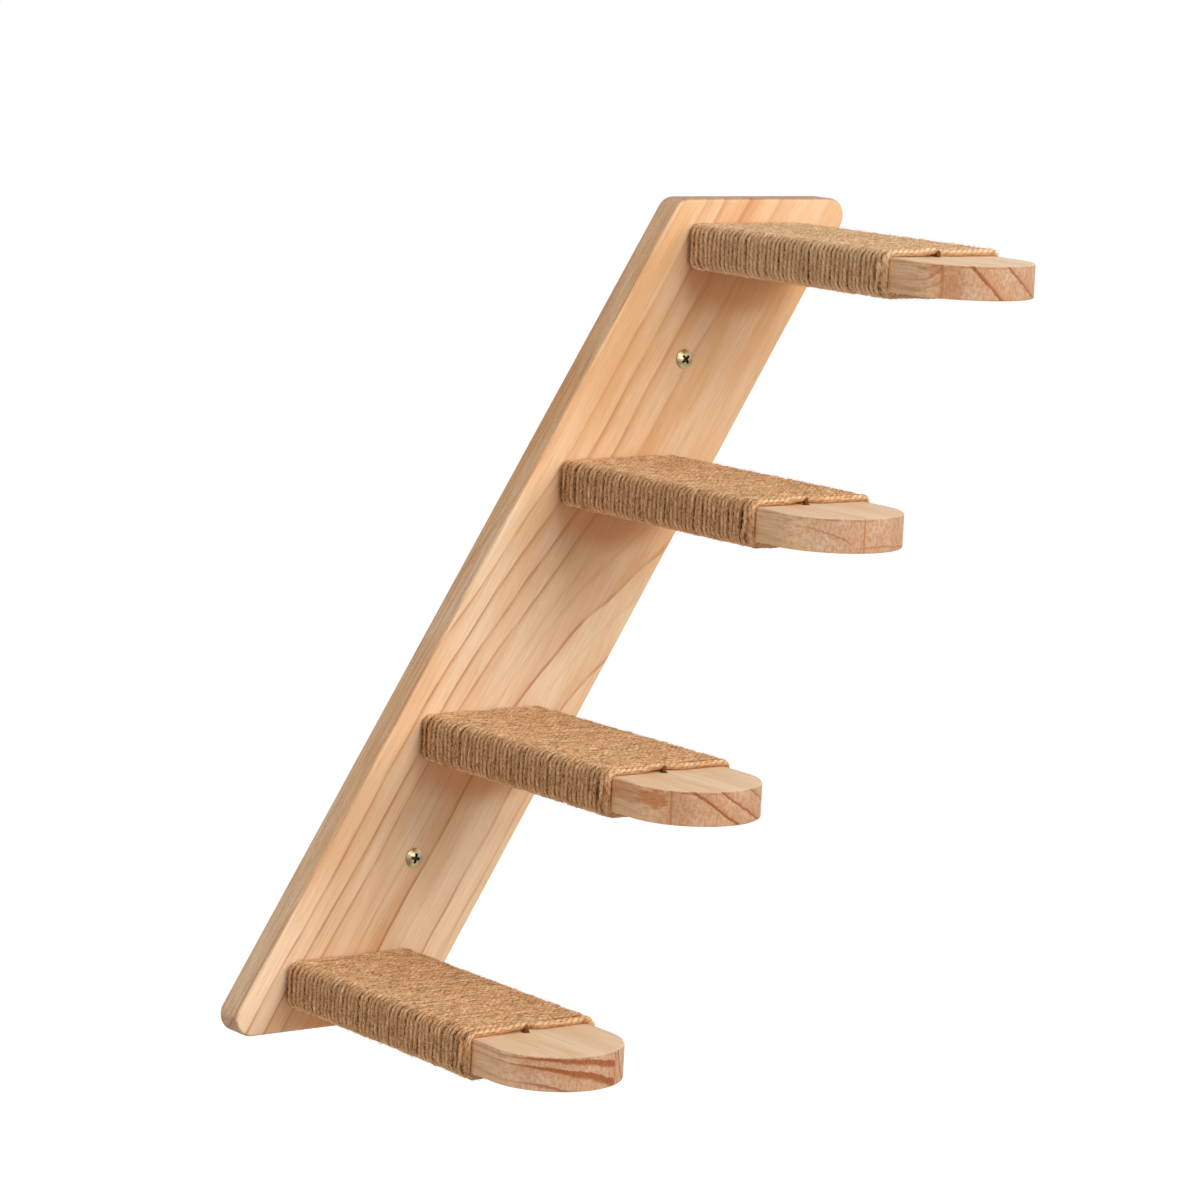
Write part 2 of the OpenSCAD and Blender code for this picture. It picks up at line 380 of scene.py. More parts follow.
def activate(piece):
    """Makes one object the only selected one, and the active one."""
    deselect()
    piece.select_set(True)
    bpy.context.view_layer.objects.active = piece


def link(name, mesh):
    """A new object with a mesh of its own."""
    mesh.name = name
    piece = bpy.data.objects.new(name, mesh)
    bpy.context.scene.collection.objects.link(piece)
    return piece


def name_new(name):
    """Names the object that an operator has just added."""
    piece = bpy.context.object
    piece.name = piece.data.name = name
    return piece


def apply_modifiers(piece):
    activate(piece)
    for modifier in list(piece.modifiers):
        bpy.ops.object.modifier_apply(modifier=modifier.name)


def settle(piece):
    """Puts a piece's place, turn and size into its mesh."""
    activate(piece)
    bpy.ops.object.transform_apply(location=True, rotation=True, scale=True)


def select_edges(piece, test):
    """In edit mode, selects the edges that a test of their two ends picks."""
    bpy.ops.mesh.select_mode(type="EDGE")
    bpy.ops.mesh.select_all(action="DESELECT")
    bpy.ops.object.mode_set(mode="OBJECT")
    points = piece.data.vertices
    for edge in piece.data.edges:
        edge.select = test(*(points[i].co for i in edge.vertices))
    bpy.ops.object.mode_set(mode="EDIT")


def close_ends(piece):
    """Closes the open ends of a tube, and turns its faces outwards."""
    activate(piece)
    bpy.ops.object.mode_set(mode="EDIT")
    bpy.ops.mesh.select_mode(type="EDGE")
    bpy.ops.mesh.select_all(action="DESELECT")
    bpy.ops.mesh.select_non_manifold()
    bpy.ops.mesh.edge_face_add()
    bpy.ops.mesh.select_all(action="SELECT")
    bpy.ops.mesh.normals_make_consistent(inside=False)
    bpy.ops.object.mode_set(mode="OBJECT")


def cut(piece, cutter):
    """Cuts one piece out of another and deletes the cutter."""
    modifier = piece.modifiers.new("cut", "BOOLEAN")
    modifier.operation, modifier.solver, modifier.object = "DIFFERENCE", "EXACT", cutter
    apply_modifiers(piece)
    bpy.data.objects.remove(cutter)


def mesh_piece(name, points, faces, uv=None):
    """A piece from arrays of points, of faces with the same number of corners, and of the corners' UVs."""
    mesh = bpy.data.meshes.new(name)
    corners = faces.shape[1]
    mesh.vertices.add(len(points))
    mesh.vertices.foreach_set("co", points.astype(np.float32).ravel())
    mesh.loops.add(faces.size)
    mesh.loops.foreach_set("vertex_index", faces.astype(np.int32).ravel())
    mesh.polygons.add(len(faces))
    mesh.polygons.foreach_set("loop_start", np.arange(0, faces.size, corners, dtype=np.int32))
    if uv is not None:
        layer = mesh.uv_layers.new(name="UVMap")
        layer.data.foreach_set("uv", uv.astype(np.float32).ravel())
    mesh.update(calc_edges=True)
    mesh.validate()
    return link(name, mesh)


def shade_smooth(piece, angle=32):
    """Shades roundings smooth, with the large flat faces kept flat up to them."""
    activate(piece)
    bpy.ops.object.shade_smooth_by_angle(angle=math.radians(angle))
    weighted = piece.modifiers.new("weighted", "WEIGHTED_NORMAL")
    weighted.weight, weighted.keep_sharp = 100, True
    apply_modifiers(piece)


def finish_piece(piece, material, slot, *nodes):
    """Gives a piece its material and body, and hides the nodes that it stands for; its slot is not used."""
    piece.data.materials.clear()
    piece.data.materials.append(material)
    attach(piece, "root")
    if nodes:
        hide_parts(*nodes)


# Pine


class Pine:
    """Pine as a solid pattern, with its places in millimetres across, through and along the piece."""

    def __init__(self, name, origin, across, along, through):
        self.look = bpy.context.scene.ladder_pine
        self.shade = Shader(name)
        self.point = self.shade.point()
        self.across = self.shade.along(self.point, origin, across)
        self.depth = self.shade.along(self.point, origin, through)
        self.length = self.shade.along(self.point, origin, along)
        # Faces cut across the grain, and the flat faces
        self.end_grain = self.shade.dot(self.shade.normal(), along).abs().smooth(0.25, 0.85)
        self.top = self.shade.dot(self.shade.normal(), through).abs().smooth(0.5, 0.9)
        self.line = self.glow = self.seam = self.stain_and_shade = 0.0
        self.warmth = 0.1

    def noise(self, width, length, detail=1.0, roughness=0.5):
        """Noise in cells of a width and a length, in millimetres."""
        place = self.shade.vector(self.across / width, self.depth / width, self.length / length)
        return self.shade.noise(place, detail, roughness)

    def ring_lines(self, rings, tilt, drift):
        """Rings at places across the board, each with its dark line's strength and its glow's width.

        tilt is how much wider apart they lie at the back. drift is how far they bend along the board, first
        all of them and then those on the right alone.
        """
        shift, fan = drift
        bend = self.length.smooth(-95, 90) * shift
        bend = bend + self.length.smooth(-70, 110) * self.across.smooth(-30, 75) * fan
        # The frame's board is 18 mm thick, and depth is 18 on its face
        place = self.across * (self.depth * -tilt + (1 + tilt * 18)) - bend
        place = place + (self.noise(40, 150) - 0.5) * 7 + (self.noise(12, 45) - 0.5) * 2.6
        for at, strength, width in rings:
            # The dark line ends sharply on the side that faces away from the log's middle
            outward = (place - at) * math.copysign(1, at)
            sharp = 1 - outward.smooth(0.1, 0.9)
            self.line = outward.smooth(-1.8, 0.1) * sharp * strength + self.line
            self.glow = outward.smooth(-width, 0) * sharp * strength + self.glow
        # Towards the top the lines grow fainter, and the reddish wood beside them shows more
        high = self.length.smooth(-20, 120)
        broken = self.noise(7, 40, detail=2).smooth(0.36, 0.6) * 0.65 + 0.4
        clouded = self.noise(16, 90, detail=2).smooth(0.3, 0.65) * 0.8 + 0.45
        self.line = self.line * broken * (1 - high * 0.5)
        self.glow = self.glow * clouded * (high * 0.5 + 1)
        self.warmth = high * 0.45

    def ring_arcs(self, arcs, joints):
        """Rings cut across, and the glue lines between the strips that they belong to.

        An arc is its middle across and in depth, its radius, its line's width and strength, the glow's width,
        and the places across where it starts, where it has its full width, and where it ends.
        """
        # A saw's marks run up and down the end grain and make the lines ragged
        saw = self.shade.vector(self.across / 0.55, self.depth / 6, self.length / 0.55)
        saw = self.shade.noise(saw, roughness=0.6)
        ragged = saw.smooth(0.35, 0.6) * 0.3 + 0.75
        waver = (self.noise(14, 60) - 0.5) * 2.6 + (self.noise(4, 14) - 0.5) * 1.2
        waver = waver + (saw - 0.5) * self.end_grain * 1.8
        shown = self.end_grain * 0.55 + 0.45 - self.top * 0.38
        for middle, height, radius, width, strength, glow, start, full, end in arcs:
            inside = radius - (self.across - middle).hypot(self.depth - height) + waver
            sharp = inside.smooth(0.0, 0.35) * (self.across > start) * (self.across < end) * shown * strength
            line_w = self.across.smooth(start, full) * width + 0.2
            self.line = (1 - (inside / line_w).smooth(0.6, 1.3)) * sharp * ragged + self.line
            self.glow = (1 - inside.smooth(0.0, glow)) * sharp + self.glow
        for joint in joints:
            self.seam = (1 - (self.across - joint).abs().smooth(0.2, 0.7)) * shown + self.seam

    def blotch(self, across, depth, size, strength):
        """A reddish brown stain in the end grain."""
        spread = ((self.across - across) / size[0]).hypot((self.depth - depth) / size[1])
        spread = spread + (self.noise(2.5, 20) - 0.5)
        stain = (1 - spread.smooth(0.3, 1.1)) * (1 - self.top) * strength
        self.stain_and_shade = stain + self.stain_and_shade
        self.line = stain * 0.3 + self.line

    def paint_shade_spot(self, centre, size, strength):
        """Painted shade: a redder, darker area on the face round a point of the piece."""
        self.stain_and_shade = self.shade.spot(self.point, centre, size) * strength + self.stain_and_shade

    def line_under_edge(self, edge, strength):
        """A brown line on the end grain, just under the edge at a given depth."""
        below = edge - self.depth
        band = below.smooth(0.5, 0.9) * (1 - below.smooth(1.1, 2.0)) * (1 - self.across.smooth(-12, 14) * 0.7)
        self.line = self.line + band * (1 - self.top) * self.noise(6, 6).smooth(0.3, 0.6) * strength

    def finish(self):
        """Colours the wood and returns the material."""
        shade, look = self.shade, self.look
        shade.matt(look.roughness, 0.25)
        streak = self.noise(1.2, 45, detail=4.0, roughness=0.7)
        canal = self.noise(0.6, 10).smooth(0.62, 0.72)
        pore = shade.noise(shade.vector(self.across / 1.3, self.depth / 2.6, self.length / 1.3), 3.0, 0.8)
        patch = self.noise(20, 100, detail=3.0)
        long_grain = 1 - self.end_grain
        colour = shade.mix(patch.smooth(0.36, 0.66) * 0.65 + self.warmth, look.early, look.warm)
        # Stains in the end grain, and the painted shade under each step on the board
        colour = shade.mix(self.stain_and_shade, colour, look.glow)
        colour = shade.mix(self.glow * 0.5, colour, look.glow)
        flank = long_grain - self.top
        grain = streak.smooth(0.4, 0.75) * (self.top * 0.2 + flank * 0.6 + 0.05) + canal * long_grain * 0.2
        colour = shade.mix(grain, colour, look.late)
        colour = shade.mix(self.line * (self.end_grain * 0.3 + 0.85), colour, look.late)
        colour = shade.mix(self.end_grain, colour, shade.mix(1.0, colour, look.end_tint, "MULTIPLY"))
        colour = shade.mix((self.end_grain + flank * 0.25) * pore.smooth(0.42, 0.6) * 0.55, colour, look.late)
        colour = shade.mix(self.seam * 0.75, colour, look.late)
        shade.set(Base_Color=colour, Roughness=streak * 0.15 + (look.roughness - 0.08))
        shade.bump(streak * 0.5 + pore * self.end_grain * 0.7, 0.3, 0.15 * MM)
        return shade.material


# Jute


def shade_gaps(shade, look, plank, colour):
    """Paints shade into the front hole, the gap under the crossing turn on the left, and the winding's start
    there.
    """
    point = shade.point()
    for middle, size in plank.shade_spots():
        colour = shade.mix(shade.spot(point, middle, size) * 0.9, colour, look.gap)
    shade.set(Base_Color=colour)


def jute_wound(look, plank, edge_u, pale):
    """Wound twine. Its UV map runs along it in millimetres, and once round it from the side on the wood.

    Past edge_u the twine lies at the winding's front edge, where its top is painted lighter, as if lit, its
    sides and underside are painted in shade, and its plies show.
    pale is the share of straw colour over all.
    """
    shade = Shader("jute_wound")
    uv = shade.node("ShaderNodeUVMap", {"uv_map": "UVMap"})
    u, v = shade.dot(uv, (1, 0, 0)), shade.dot(uv, (0, 1, 0))
    upward = shade.dot(shade.normal(), (0, 0, 1))
    at_edge = u > edge_u
    # The front strand's upward faces, where painted light goes
    edge_top = at_edge * upward.smooth(-0.1, 0.5)
    tuft = shade.noise(shade.vector(u * 0.16, v * (GIRTH * 0.8), 0.0))
    fibre = shade.noise(shade.vector(u * 0.5, v * (GIRTH * 1.6), 7.0), detail=3.0, roughness=0.7)
    patch = shade.noise(shade.vector(u * 0.03, 0.0, 0.0))
    light = tuft * 0.45 + fibre * 0.55
    colour = shade.mix(light.smooth(0.38, 0.49), look.dark, look.base)
    colour = shade.mix(light.smooth(0.49, 0.6), colour, look.straw)
    colour = shade.mix(patch.smooth(0.4, 0.7) * 0.3, colour, look.dark)
    # All of the top step's twine is paler; on the front strand the top is painted lighter, and the sides and
    # underside are painted in shade
    colour = shade.mix(edge_top * 0.15 + pale, colour, look.straw)
    colour = shade.mix((at_edge - edge_top) * 0.45, colour, look.dark)
    # Painted shade in the grooves between plies, most on the front strand's top, and between one turn and the
    # next, most on the sides
    ply = ((v + u / (look.lay / MM)) * 3 + 0.5).fract()
    groove = 1 - ((ply - 0.5).abs() * 2).smooth(0.05, 0.5)
    colour = shade.mix(groove * (edge_top * 0.25 + 0.25), colour, look.dark)
    sideways = 1 - upward.abs().smooth(0.25, 0.8) * 0.75
    shade_between_turns = ((v - 0.5).abs() * 2).smooth(0.1, 0.32) * (1 - at_edge) * sideways
    colour = shade.mix(shade_between_turns * (tuft.smooth(0.36, 0.56) * 0.7 + 0.3), colour, look.gap)
    shade_gaps(shade, look, plank, colour)
    shade.matt(0.85, 0.0)
    shade.bump(fibre + tuft * 0.6, 1.0, 0.5 * MM)
    return shade.material


def jute_loose(look, plank, pale):
    """Loose fibres, which vary from one to the next, with painted shade in the deep gaps."""
    shade = Shader("jute_loose")
    light = shade.noise(shade.point_mm(), detail=1.0)
    colour = shade.mix(light.smooth(0.32, 0.46), look.dark, look.base)
    colour = shade.mix(light.smooth(0.5, 0.64) + pale, colour, look.straw)
    shade_gaps(shade, look, plank, colour)
    shade.matt(0.8, 0.0)
    return shade.material


class Winding:
    """One twine wound round a plank, as arrays along its length."""

    # Its inner side bends round the plank's edges with this radius
    edge_r = 2.6 * MM
    # Lengths in which it wanders along the plank, and off it
    long_wave, short_wave, lift_wave = 31 * MM, 9 * MM, 17 * MM
    # Lengths on either side in which the crossing turn is pulled forward, and its neighbour gives way
    pull_l, give_l = 7 * MM, 6 * MM
    # The front end starts to rise this far before it ends, rises in a length, and to a height
    rise_before, rise_l, rise_h = 16 * MM, 7 * MM, 1.3 * MM

    def __init__(self, plank, settings, seed):
        self.plank, self.settings = plank, settings
        self.random = np.random.default_rng(seed)
        self.radius = plank.twine_r
        self.pitch = (plank.wrap_end - plank.wrap_start - 2 * self.radius) / settings.turns
        # The twine is pressed flat where it lies on the wood
        self.offset = self.radius * 0.9
        self.corner = self.offset + self.edge_r
        self.flat_w = 2 * (plank.half_w + self.offset - self.corner)
        self.flat_t = 2 * (plank.half_t + self.offset - self.corner)
        self.arc = math.pi / 2 * self.corner
        self.round = 2 * self.flat_w + 2 * self.flat_t + 4 * self.arc

    def section_point(self, s):
        """Place across the plank and outward angle at a distance s round it, clockwise from the top."""
        half_w, half_t = self.flat_w / 2, self.flat_t / 2
        flats = (half_w, self.flat_t, self.flat_w, self.flat_t)
        starts = np.cumsum([0] + [run for flat in flats for run in (flat, self.arc)] + [half_w])
        # On a flat run the middle of the bend moves along, and in a bend the angle turns about it
        x = np.interp(s, starts, np.array([0, 1, 1, 1, 1, -1, -1, -1, -1, 0]) * half_w)
        z = np.interp(s, starts, np.array([1, 1, 1, -1, -1, -1, -1, 1, 1, 1]) * half_t)
        angle = np.interp(s, starts, np.array([0, 0, 1, 1, 2, 2, 3, 3, 4, 4]) * math.pi / 2)
        return x + self.corner * np.sin(angle), z + self.corner * np.cos(angle), angle

    def wander(self, length, step, size):
        """Smooth random wander along the twine."""
        knots = self.random.uniform(-1, 1, int(length / step) + 3)
        return size * np.interp(self.s / step, np.arange(len(knots)), knots)

    def route(self, spacing):
        """Lays the twine's centre line and its outward directions, from one tucked end to the other."""
        look, turns = self.settings, self.settings.turns
        length = turns * self.round
        self.s = np.arange(0, length, spacing)
        turn = np.floor(self.s / self.round)
        x, z, angle = self.section_point(self.s - turn * self.round)
        # The first turns keep to the board, and step forward side by side to the left of the middle on top
        share = self.s / self.round - turn
        slant = np.minimum(turn / LEVEL_TURNS, 1)
        step = self.ease(1 - (1 - share) * self.round / STEP_FORWARD)
        y = self.plank.wrap_start + self.radius
        y += self.pitch * (turn + slant * share + (1 - slant) * step)
        y += self.wander(length, self.long_wave, look.unevenness)
        y += self.wander(length, self.short_wave, look.unevenness / 2)
        lift = self.wander(length, self.lift_wave, look.unevenness * 0.3)

        # The last turn keeps to the front edge, so the one before it comes forward beside the top's middle
        last_y = self.plank.wrap_end - self.radius
        from_end = length - self.s
        y = y + (last_y - y) * self.ease((self.round + 1 * MM - from_end) / STEP_FORWARD)

        # On the left, half way down, the turn before the last is pulled forward over the last one
        crossing = self.round + self.flat_w / 2 + self.arc + self.flat_t / 2 - 1.5 * MM
        pull = self.ease(1 - np.abs(from_end - crossing) / self.pull_l)
        lift = lift + self.ease(pull * 1.5 - 0.35) * self.radius * 0.9
        # Its neighbour gives way a little to the back
        spread = self.ease(1 - np.abs(from_end - (crossing + self.round)) / self.give_l)
        y = y + (pull * 0.95 - spread * 0.25) * self.pitch

        # The front end rises a little beside its hole, and leaves a dark notch under it
        beside = self.ease((self.rise_before - from_end) / self.rise_l)
        y = y + beside * self.radius * 0.35
        lift = lift * (1 - beside) + beside * self.rise_h
        x = x + lift * np.sin(angle)
        z = z + lift * np.cos(angle)
        y = np.maximum(y, self.plank.wrap_start + self.radius * 0.9)
        place = np.stack([self.plank.x + x, self.plank.root_y - y, self.plank.z + z], 1)
        outward = np.stack([np.sin(angle), np.zeros_like(angle), np.cos(angle)], 1)

        # Both ends turn down into their holes in the plank's top
        keep = from_end > TUCK_LEFT - 0.6 * MM
        place, outward = place[keep], outward[keep]
        top_z = self.plank.z + self.plank.half_t
        head = self.dive(place[2], 0, self.plank.root_y - self.plank.tuck_ys[0], top_z)
        tail = self.dive(place[-1], -TUCK_LEFT + 0.9 * MM, place[-1][1] - 0.3 * MM, top_z)
        left, right = np.array([[-0.9, 0, 0.45]]), np.array([[0.9, 0, 0.45]])
        outward = np.concatenate([left.repeat(len(head), 0), outward[2:], right.repeat(len(tail), 0)])
        place = np.concatenate([head[::-1], place[2:], tail])
        self.place, self.outward = place, unit(outward)

    def ease(self, share):
        share = np.clip(share, 0, 1)
        return share * share * (3 - 2 * share)

    def dive(self, start, hole_x, hole_y, top_z):
        """A quarter turn from a point on the winding down to just above the floor of a hole."""
        over = np.array([self.plank.x + hole_x, hole_y, start[2]])
        floor = np.array([self.plank.x + hole_x, hole_y, top_z - (TUCK_DEPTH - 1 * MM)])
        share = np.linspace(0, 1, 9)[1:, None]
        return (1 - share) ** 2 * start + 2 * share * (1 - share) * over + share ** 2 * floor


def unit(vectors):
    """The same directions with a length of one."""
    return vectors / np.linalg.norm(vectors, axis=1)[:, None]


def uneven(length, step, random):
    """Smooth random numbers from -1 to 1 along a twine."""
    knots = np.arange(0, length[-1] + step, step)
    return np.interp(length, knots, random.uniform(-1, 1, len(knots)))


def tube(name, winding, sides=12):
    """A twine of three plies: a closed tube along a route, grooved and thicker here and there."""
    place, look = winding.place, winding.settings
    ahead = unit(np.gradient(place, axis=0))
    side = unit(np.cross(ahead, winding.outward))
    out = np.cross(side, ahead)
    length = np.concatenate([[0], np.cumsum(np.linalg.norm(np.diff(place, axis=0), axis=1))])
    # The pattern's seam faces the wood
    theta = np.linspace(0, 2 * np.pi, sides, endpoint=False) + np.pi
    lobes = np.abs(np.cos(1.5 * (theta[None, :] + 2 * np.pi * length[:, None] / look.lay)))
    lumps = LUMPS * uneven(length, LUMP_L, winding.random)[:, None]
    # The last stretch is cleaner, with deeper grooves, and thins where it turns down
    from_end = (length[-1] - length)[:, None]
    depth = np.where(from_end < CLEAN_END, 2 * look.ply_depth, look.ply_depth)
    thin = 1 - 0.25 * np.clip((12 * MM - from_end) / (8 * MM), 0, 1)
    r = winding.radius * thin * (1 - depth * (1 - lobes) * 1.6 + depth * 0.4) * (1 + lumps)
    points = (place[:, None, :] + r[..., None] * (np.cos(theta)[None, :, None] * out[:, None, :]
              + np.sin(theta)[None, :, None] * side[:, None, :]))
    ring, column = np.meshgrid(np.arange(len(place) - 1), np.arange(sides), indexing="ij")
    corners = ((0, 0), (0, 1), (1, 1), (1, 0))
    faces = np.stack([(ring + i) * sides + (column + j) % sides for i, j in corners], -1).reshape(-1, 4)
    u = length / MM
    v = np.arange(sides + 1) / sides
    uv = np.stack([np.stack([u[ring + i], v[column + j]], -1) for i, j in corners], 2)
    piece = mesh_piece(name, points.reshape(-1, 3), faces, uv.reshape(-1, 2))
    piece.data.polygons.foreach_set("use_smooth", np.ones(len(faces), dtype=bool))
    close_ends(piece)
    return piece


def loose_fibres(name, winding):
    """Short curved hairs on the twine, most of them lying along it, each a thin three-sided spike."""
    place, outward, random = winding.place, winding.outward, winding.random
    count = winding.settings.fibres
    ahead = unit(np.gradient(place, axis=0))
    side = np.cross(ahead, outward)
    # More of them on top and on the sides than underneath
    upright = outward[:, 2]
    weight = np.select([upright < -0.7, upright > 0.97], [0.4, 0.8], 2.6)
    weight[:12] = weight[-30:] = 0
    at = random.choice(len(place), count, p=weight / weight.sum())
    upright = np.abs(upright[at])[:, None]
    theta = random.normal(0, 0.7, count)
    out = np.cos(theta)[:, None] * outward[at] + np.sin(theta)[:, None] * side[at]
    root = place[at] + out * winding.radius
    lying = random.random((count, 1)) < LYING_SHARE
    rise = np.where(lying, random.uniform(0.05, 0.2, (count, 1)), random.uniform(0.3, 0.8, (count, 1)))
    lean = (random.normal(0, 1, (count, 1)) * ahead[at]
            + random.normal(0, 1, (count, 1)) * (0.7 + 0.6 * upright) * side[at])
    heading = unit(out * rise + unit(lean) * (1 - rise * 0.6))
    length = random.exponential(1.4 * MM, (count, 1)) + FIBRE_MIN
    length = np.minimum(length, np.where(lying, FIBRE_LYING, FIBRE_UP))
    curl = random.normal(0, 0.35, (count, 3))
    middle = root + heading * length * 0.5
    tip = middle + (heading + curl) * length * 0.5
    thick = random.uniform(0.07, 0.13, (count, 1)) * MM
    first = unit(np.cross(heading, out))
    second = np.cross(heading, first)
    # Three points round the root, three round the middle, and the tip
    points = []
    corners = [[2, 1, 0]]
    for centre, width in ((root, thick), (middle, thick * 0.85)):
        for turn in range(3):
            angle = 2 * math.pi * turn / 3
            points.append(centre + width * (math.cos(angle) * first + math.sin(angle) * second))
    points = np.stack([*points, tip], 1).reshape(-1, 3)
    for turn, after in ((0, 1), (1, 2), (2, 0)):
        corners += [[turn, after, after + 3], [turn, after + 3, turn + 3], [turn + 3, after + 3, 6]]
    faces = (np.arange(count)[:, None, None] * 7 + np.array(corners)[None]).reshape(-1, 3)
    return mesh_piece(name, points, faces)


# Operators, one for each piece or group of like pieces


class LADDER_OT_stage(bpy.types.Operator):
    """Adds the camera, the lights, the pale surroundings and the floor"""
    bl_idname = "ladder.stage"
    bl_label = "Stage"

    def execute(self, context):
        stage = context.scene.ladder_stage
        context.scene.view_settings.view_transform = "Standard"
        self.camera(context, stage)
        self.lamp("key_lamp", (0.5, -2.4, 0.95), 1.5, stage.key, (1.0, 0.98, 0.94))
        self.lamp("top_lamp", (0.3, -0.7, 2.1), 1.6, stage.top, (0.8, 0.95, 1.0))
        self.lamp("fill_lamp", (-2.4, -0.9, 0.3), 1.6, stage.fill, (1.0, 0.94, 0.84))
        self.surroundings(context, stage)
        self.floor(stage)
        return {"FINISHED"}

    def camera(self, context, stage):
        flat = math.cos(stage.pitch)
        ahead = Vector((math.sin(stage.yaw) * flat, math.cos(stage.yaw) * flat, -math.sin(stage.pitch)))
        level = Vector((math.cos(stage.yaw), -math.sin(stage.yaw), 0))
        above = level.cross(ahead)
        right = math.cos(stage.roll) * level + math.sin(stage.roll) * above
        up = math.cos(stage.roll) * above - math.sin(stage.roll) * level
        bpy.ops.object.camera_add()
        camera = name_new("camera")
        turn = Matrix((right, up, -ahead)).transposed().to_4x4()
        camera.matrix_world = Matrix.Translation(stage.eye) @ turn
        camera.data.lens = stage.lens
        camera.data.clip_start, camera.data.clip_end = 0.1, 50
        context.scene.camera = camera

    def lamp(self, name, place, size, power, colour):
        turn = (-Vector(place)).to_track_quat("-Z", "Y").to_euler()
        bpy.ops.object.light_add(type="AREA", location=place, rotation=turn)
        lamp = name_new(name)
        lamp.data.shape, lamp.data.size, lamp.data.energy = "DISK", size, power
        lamp.data.color = colour

    def surroundings(self, context, stage):
        """A white background to the eye, and a plain soft light to everything else."""
        context.scene.world = world = bpy.data.worlds.new("surroundings")
        world.use_nodes = True
        nodes = Nodes(world.node_tree)
        nodes.tree.nodes.clear()
        rays = ("Is Camera Ray", "Is Glossy Ray", "Is Transmission Ray")
        eye, mirrored, refracted = (nodes.node("ShaderNodeLightPath", out=ray) for ray in rays)
        soft = nodes.node("ShaderNodeBackground", None, ((1.0, 0.985, 0.96, 1), stage.ambient))
        white = nodes.node("ShaderNodeBackground", None, ((1, 1, 1, 1), 1.0))
        shown = nodes.node("ShaderNodeMixShader", None, (eye.larger(mirrored).larger(refracted), soft, white))
        out = nodes.tree.nodes.new("ShaderNodeOutputWorld")
        nodes.feed(out.inputs["Surface"], shown)

    def floor(self, stage):
        low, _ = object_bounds()
        bpy.ops.mesh.primitive_circle_add(vertices=96, radius=14, fill_type="NGON",
                                          location=(0, 0, low.z - stage.floor_drop))
        floor = name_new("floor")
        shade = Shader("pale_floor")
        path = shade.node("ShaderNodeLightPath", out="Is Camera Ray")
        shade.set(Base_Color=(0.9, 0.9, 0.9, 1), Roughness=0.9, Emission_Color=path, Emission_Strength=0.66)
        floor.data.materials.append(shade.material)
        floor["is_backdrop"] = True


class LADDER_OT_backboard(bpy.types.Operator):
    """Dresses the slanted board: a merged copy of the frame's board with smooth eased edges, in pine"""
    bl_idname = "ladder.backboard"
    bl_label = "Backboard"

    # Rings at the board's foot: place from its middle, the dark line's strength, the glow's width
    rings = ((-76, 0.3, 6), (-66, 0.35, 5), (-52, 0.5, 8), (-40.5, 0.75, 5), (-29.5, 0.7, 6), (-20, 0.5, 7),
             (-9, 0.12, 9), (-3, 0.2, 7), (9.5, 0.8, 12), (20, 0.1, 4), (35, 0.55, 9), (46, 0.35, 5),
             (58, 0.4, 6))

    def execute(self, context):
        board = link("pine_backboard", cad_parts["backboard"].data.copy())
        activate(board)
        bpy.ops.object.mode_set(mode="EDIT")
        bpy.ops.mesh.select_all(action="SELECT")
        bpy.ops.mesh.remove_doubles(threshold=NEAR)
        bpy.ops.mesh.dissolve_limited(angle_limit=math.radians(0.5))
        bpy.ops.object.mode_set(mode="OBJECT")
        shade_smooth(board)
        wood = Pine("board_pine", (0, 0, 0), ACROSS_BOARD, ALONG_BOARD, (0, -1, 0))
        wood.ring_lines(self.rings, tilt=0.011, drift=(15, 36))
        # Painted shadow: the wood is redder and darker under each step, where the step and its twine shade it
        for plank in PLANKS.values():
            wood.paint_shade_spot(plank.centre - Vector((0, 0, 14 * MM)), (54 * MM, 20 * MM, 30 * MM), 0.85)
        finish_piece(board, wood.finish(), "board_pine", "backboard")
        return {"FINISHED"}


